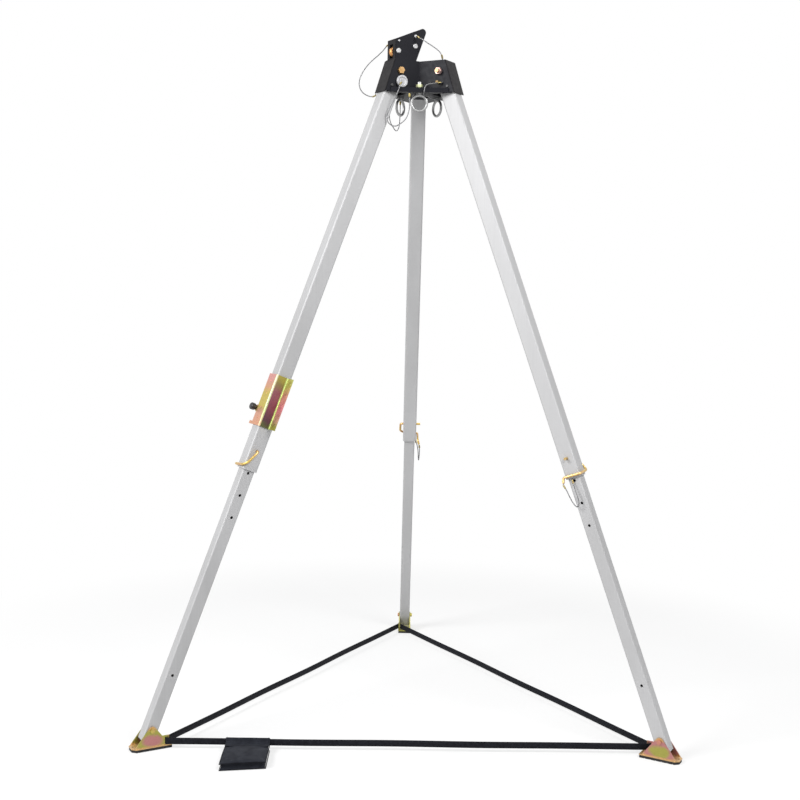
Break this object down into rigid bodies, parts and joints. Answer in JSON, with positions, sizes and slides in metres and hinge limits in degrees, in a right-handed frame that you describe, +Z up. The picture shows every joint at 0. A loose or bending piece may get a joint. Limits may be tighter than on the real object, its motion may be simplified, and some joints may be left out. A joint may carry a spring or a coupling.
{
  "type": "rescue tripod",
  "caption": "Folding rescue tripod: telescopic legs hinged in a steel head with rope sheaves and anchor eyes, a winch bracket, tilting rubber feet, a foot strap and a pouch.",
  "frame": {"origin": "on the floor, under the middle of the part's bounding box", "axes": "+Z up; the rear leg points along +Y; the sheave housing and winch bracket are on the front left leg, at -X and -Y"},
  "size_m": [2.035, 1.9112, 2.7208],
  "materials": {
    "black_steel": "satin",
    "galvanised": "satin",
    "zinc_yellow": "satin",
    "tube": "satin",
    "sheave_bronze": "satin",
    "nylon": "matt",
    "black_plastic": "matt",
    "rubber": "matt",
    "webbing": "matt",
    "pouch_cloth": "matt",
    "wire": "satin"
  },
  "bodies": {
    "head": {"head_front_plate": "black_steel", "head_left_plate": "black_steel", "head_right_plate": "black_steel", "head_web_left": "black_steel", "head_web_right": "black_steel", "head_web_rear": "black_steel", "head_base_plate": "black_steel", "housing_rear_plate": "black_steel", "sheave_axles": "galvanised", "sheave_spacers": "galvanised", "leg_pivot_bolts": "zinc_yellow", "leg_pivot_nuts": "zinc_yellow", "leg_washers": "nylon", "side_guides": "nylon", "guide_screws": "galvanised", "anchor_eyes": "galvanised", "eye_nuts": "zinc_yellow", "keeper_lanyard_outer": "wire", "keeper_lanyard_inner": "wire", "lock_lanyard_left": "wire", "lock_lanyard_right": "wire", "lock_lanyard_rear": "wire"},
    "upper_leg_left": {"outer_tube_left": "tube", "tube_bush_left": "black_plastic", "adjust_lanyard_left": "wire", "winch_bracket": "zinc_yellow", "bracket_clamp": "zinc_yellow"},
    "lower_leg_left": {"inner_tube_left": "tube", "strap_front": "webbing", "pouch": "pouch_cloth"},
    "foot_left": {"foot_bracket_left": "zinc_yellow", "foot_bolt_left": "zinc_yellow", "foot_pad_left": "rubber"},
    "lock_left": {"lock_pin_left": "galvanised"},
    "adjust_left": {"adjust_pin_left": "zinc_yellow"},
    "upper_leg_right": {"outer_tube_right": "tube", "tube_bush_right": "black_plastic", "adjust_lanyard_right": "wire"},
    "lower_leg_right": {"inner_tube_right": "tube", "strap_right": "webbing"},
    "foot_right": {"foot_bracket_right": "zinc_yellow", "foot_bolt_right": "zinc_yellow", "foot_pad_right": "rubber"},
    "lock_right": {"lock_pin_right": "galvanised"},
    "adjust_right": {"adjust_pin_right": "zinc_yellow"},
    "upper_leg_rear": {"outer_tube_rear": "tube", "tube_bush_rear": "black_plastic", "adjust_lanyard_rear": "wire"},
    "lower_leg_rear": {"inner_tube_rear": "tube", "strap_left": "webbing"},
    "foot_rear": {"foot_bracket_rear": "zinc_yellow", "foot_bolt_rear": "zinc_yellow", "foot_pad_rear": "rubber"},
    "lock_rear": {"lock_pin_rear": "galvanised"},
    "adjust_rear": {"adjust_pin_rear": "zinc_yellow"},
    "sheave_outer": {"sheave_outer": "sheave_bronze"},
    "sheave_inner": {"sheave_inner": "sheave_bronze"},
    "keeper_outer": {"keeper_pin_outer": "galvanised"},
    "keeper_inner": {"keeper_pin_inner": "galvanised"},
    "clamp_knob": {"bracket_knob": "black_plastic"}
  },
  "joints": [
    {"name": "leg_fold_left", "type": "hinge", "parent": "head", "child": "upper_leg_left", "pos_m": [-0.0944, -0.26405, 2.552], "axis": [0.5, -0.866, 0], "range_deg": [0, 21.6], "deforming": ["strap_front", "strap_left"]},
    {"name": "leg_slide_left", "type": "slide", "parent": "upper_leg_left", "child": "lower_leg_left", "axis": [0.3188, 0.1841, 0.9298], "range_m": [0, 0.88], "deforming": ["strap_front", "strap_left"]},
    {"name": "foot_tilt_left", "type": "hinge", "parent": "lower_leg_left", "child": "foot_left", "pos_m": [-0.94406, -0.75461, 0.074], "axis": [-0.5, 0.866, 0], "range_deg": [-22, 22], "deforming": ["strap_front", "strap_left"]},
    {"name": "lock_pull_left", "type": "slide", "parent": "head", "child": "lock_left", "axis": [0.5, -0.866, 0], "range_m": [0, 0.1], "deforming": ["lock_lanyard_left"]},
    {"name": "bail_swing_left", "type": "hinge", "parent": "upper_leg_left", "child": "adjust_left", "pos_m": [-0.59652, -0.55395, 1.0876], "axis": [-0.5, 0.866, 0], "range_deg": [0, 100], "deforming": ["adjust_lanyard_left"]},
    {"name": "leg_fold_right", "type": "hinge", "parent": "head", "child": "upper_leg_right", "pos_m": [0.0944, -0.26405, 2.552], "axis": [0.5, 0.866, 0], "range_deg": [0, 21.6], "deforming": ["strap_front", "strap_right"]},
    {"name": "leg_slide_right", "type": "slide", "parent": "upper_leg_right", "child": "lower_leg_right", "axis": [-0.3188, 0.1841, 0.9298], "range_m": [0, 0.88], "deforming": ["strap_front", "strap_right"]},
    {"name": "foot_tilt_right", "type": "hinge", "parent": "lower_leg_right", "child": "foot_right", "pos_m": [0.94406, -0.75461, 0.074], "axis": [-0.5, -0.866, 0], "range_deg": [-22, 22], "deforming": ["strap_front", "strap_right"]},
    {"name": "lock_pull_right", "type": "slide", "parent": "head", "child": "lock_right", "axis": [0.5, 0.866, 0], "range_m": [0, 0.1], "deforming": ["lock_lanyard_right"]},
    {"name": "bail_swing_right", "type": "hinge", "parent": "upper_leg_right", "child": "adjust_right", "pos_m": [0.59652, -0.55395, 1.0876], "axis": [-0.5, -0.866, 0], "range_deg": [0, 100], "deforming": ["adjust_lanyard_right"]},
    {"name": "leg_fold_rear", "type": "hinge", "parent": "head", "child": "upper_leg_rear", "pos_m": [0, -0.10056, 2.552], "axis": [-1, 0, 0], "range_deg": [0, 21.6], "deforming": ["strap_right", "strap_left"]},
    {"name": "leg_slide_rear", "type": "slide", "parent": "upper_leg_rear", "child": "lower_leg_rear", "axis": [0, -0.3681, 0.9298], "range_m": [0, 0.88], "deforming": ["strap_right", "strap_left"]},
    {"name": "foot_tilt_rear", "type": "hinge", "parent": "lower_leg_rear", "child": "foot_rear", "pos_m": [0, 0.88055, 0.074], "axis": [1, 0, 0], "range_deg": [-22, 22], "deforming": ["strap_right", "strap_left"]},
    {"name": "lock_pull_rear", "type": "slide", "parent": "head", "child": "lock_rear", "axis": [-1, 0, 0], "range_m": [0, 0.1], "deforming": ["lock_lanyard_rear"]},
    {"name": "bail_swing_rear", "type": "hinge", "parent": "upper_leg_rear", "child": "adjust_rear", "pos_m": [0, 0.47924, 1.0876], "axis": [1, 0, 0], "range_deg": [0, 100], "deforming": ["adjust_lanyard_rear"]},
    {"name": "sheave_turn_outer", "type": "hinge", "parent": "head", "child": "sheave_outer", "pos_m": [-0.09979, -0.27872, 2.625], "axis": [0.5, -0.866, 0], "continuous": true},
    {"name": "keeper_pull_outer", "type": "slide", "parent": "head", "child": "keeper_outer", "axis": [-0.5, 0.866, 0], "range_m": [0, 0.08], "deforming": ["keeper_lanyard_outer"]},
    {"name": "sheave_turn_inner", "type": "hinge", "parent": "head", "child": "sheave_inner", "pos_m": [-0.03484, -0.24122, 2.65], "axis": [0.5, -0.866, 0], "continuous": true},
    {"name": "keeper_pull_inner", "type": "slide", "parent": "head", "child": "keeper_inner", "axis": [0.5, -0.866, 0], "range_m": [0, 0.08], "deforming": ["keeper_lanyard_inner"]},
    {"name": "clamp_turn", "type": "hinge", "parent": "upper_leg_left", "child": "clamp_knob", "pos_m": [-0.59544, -0.4956, 1.24516], "axis": [-0.8052, -0.4649, 0.3681], "continuous": true}
  ]
}
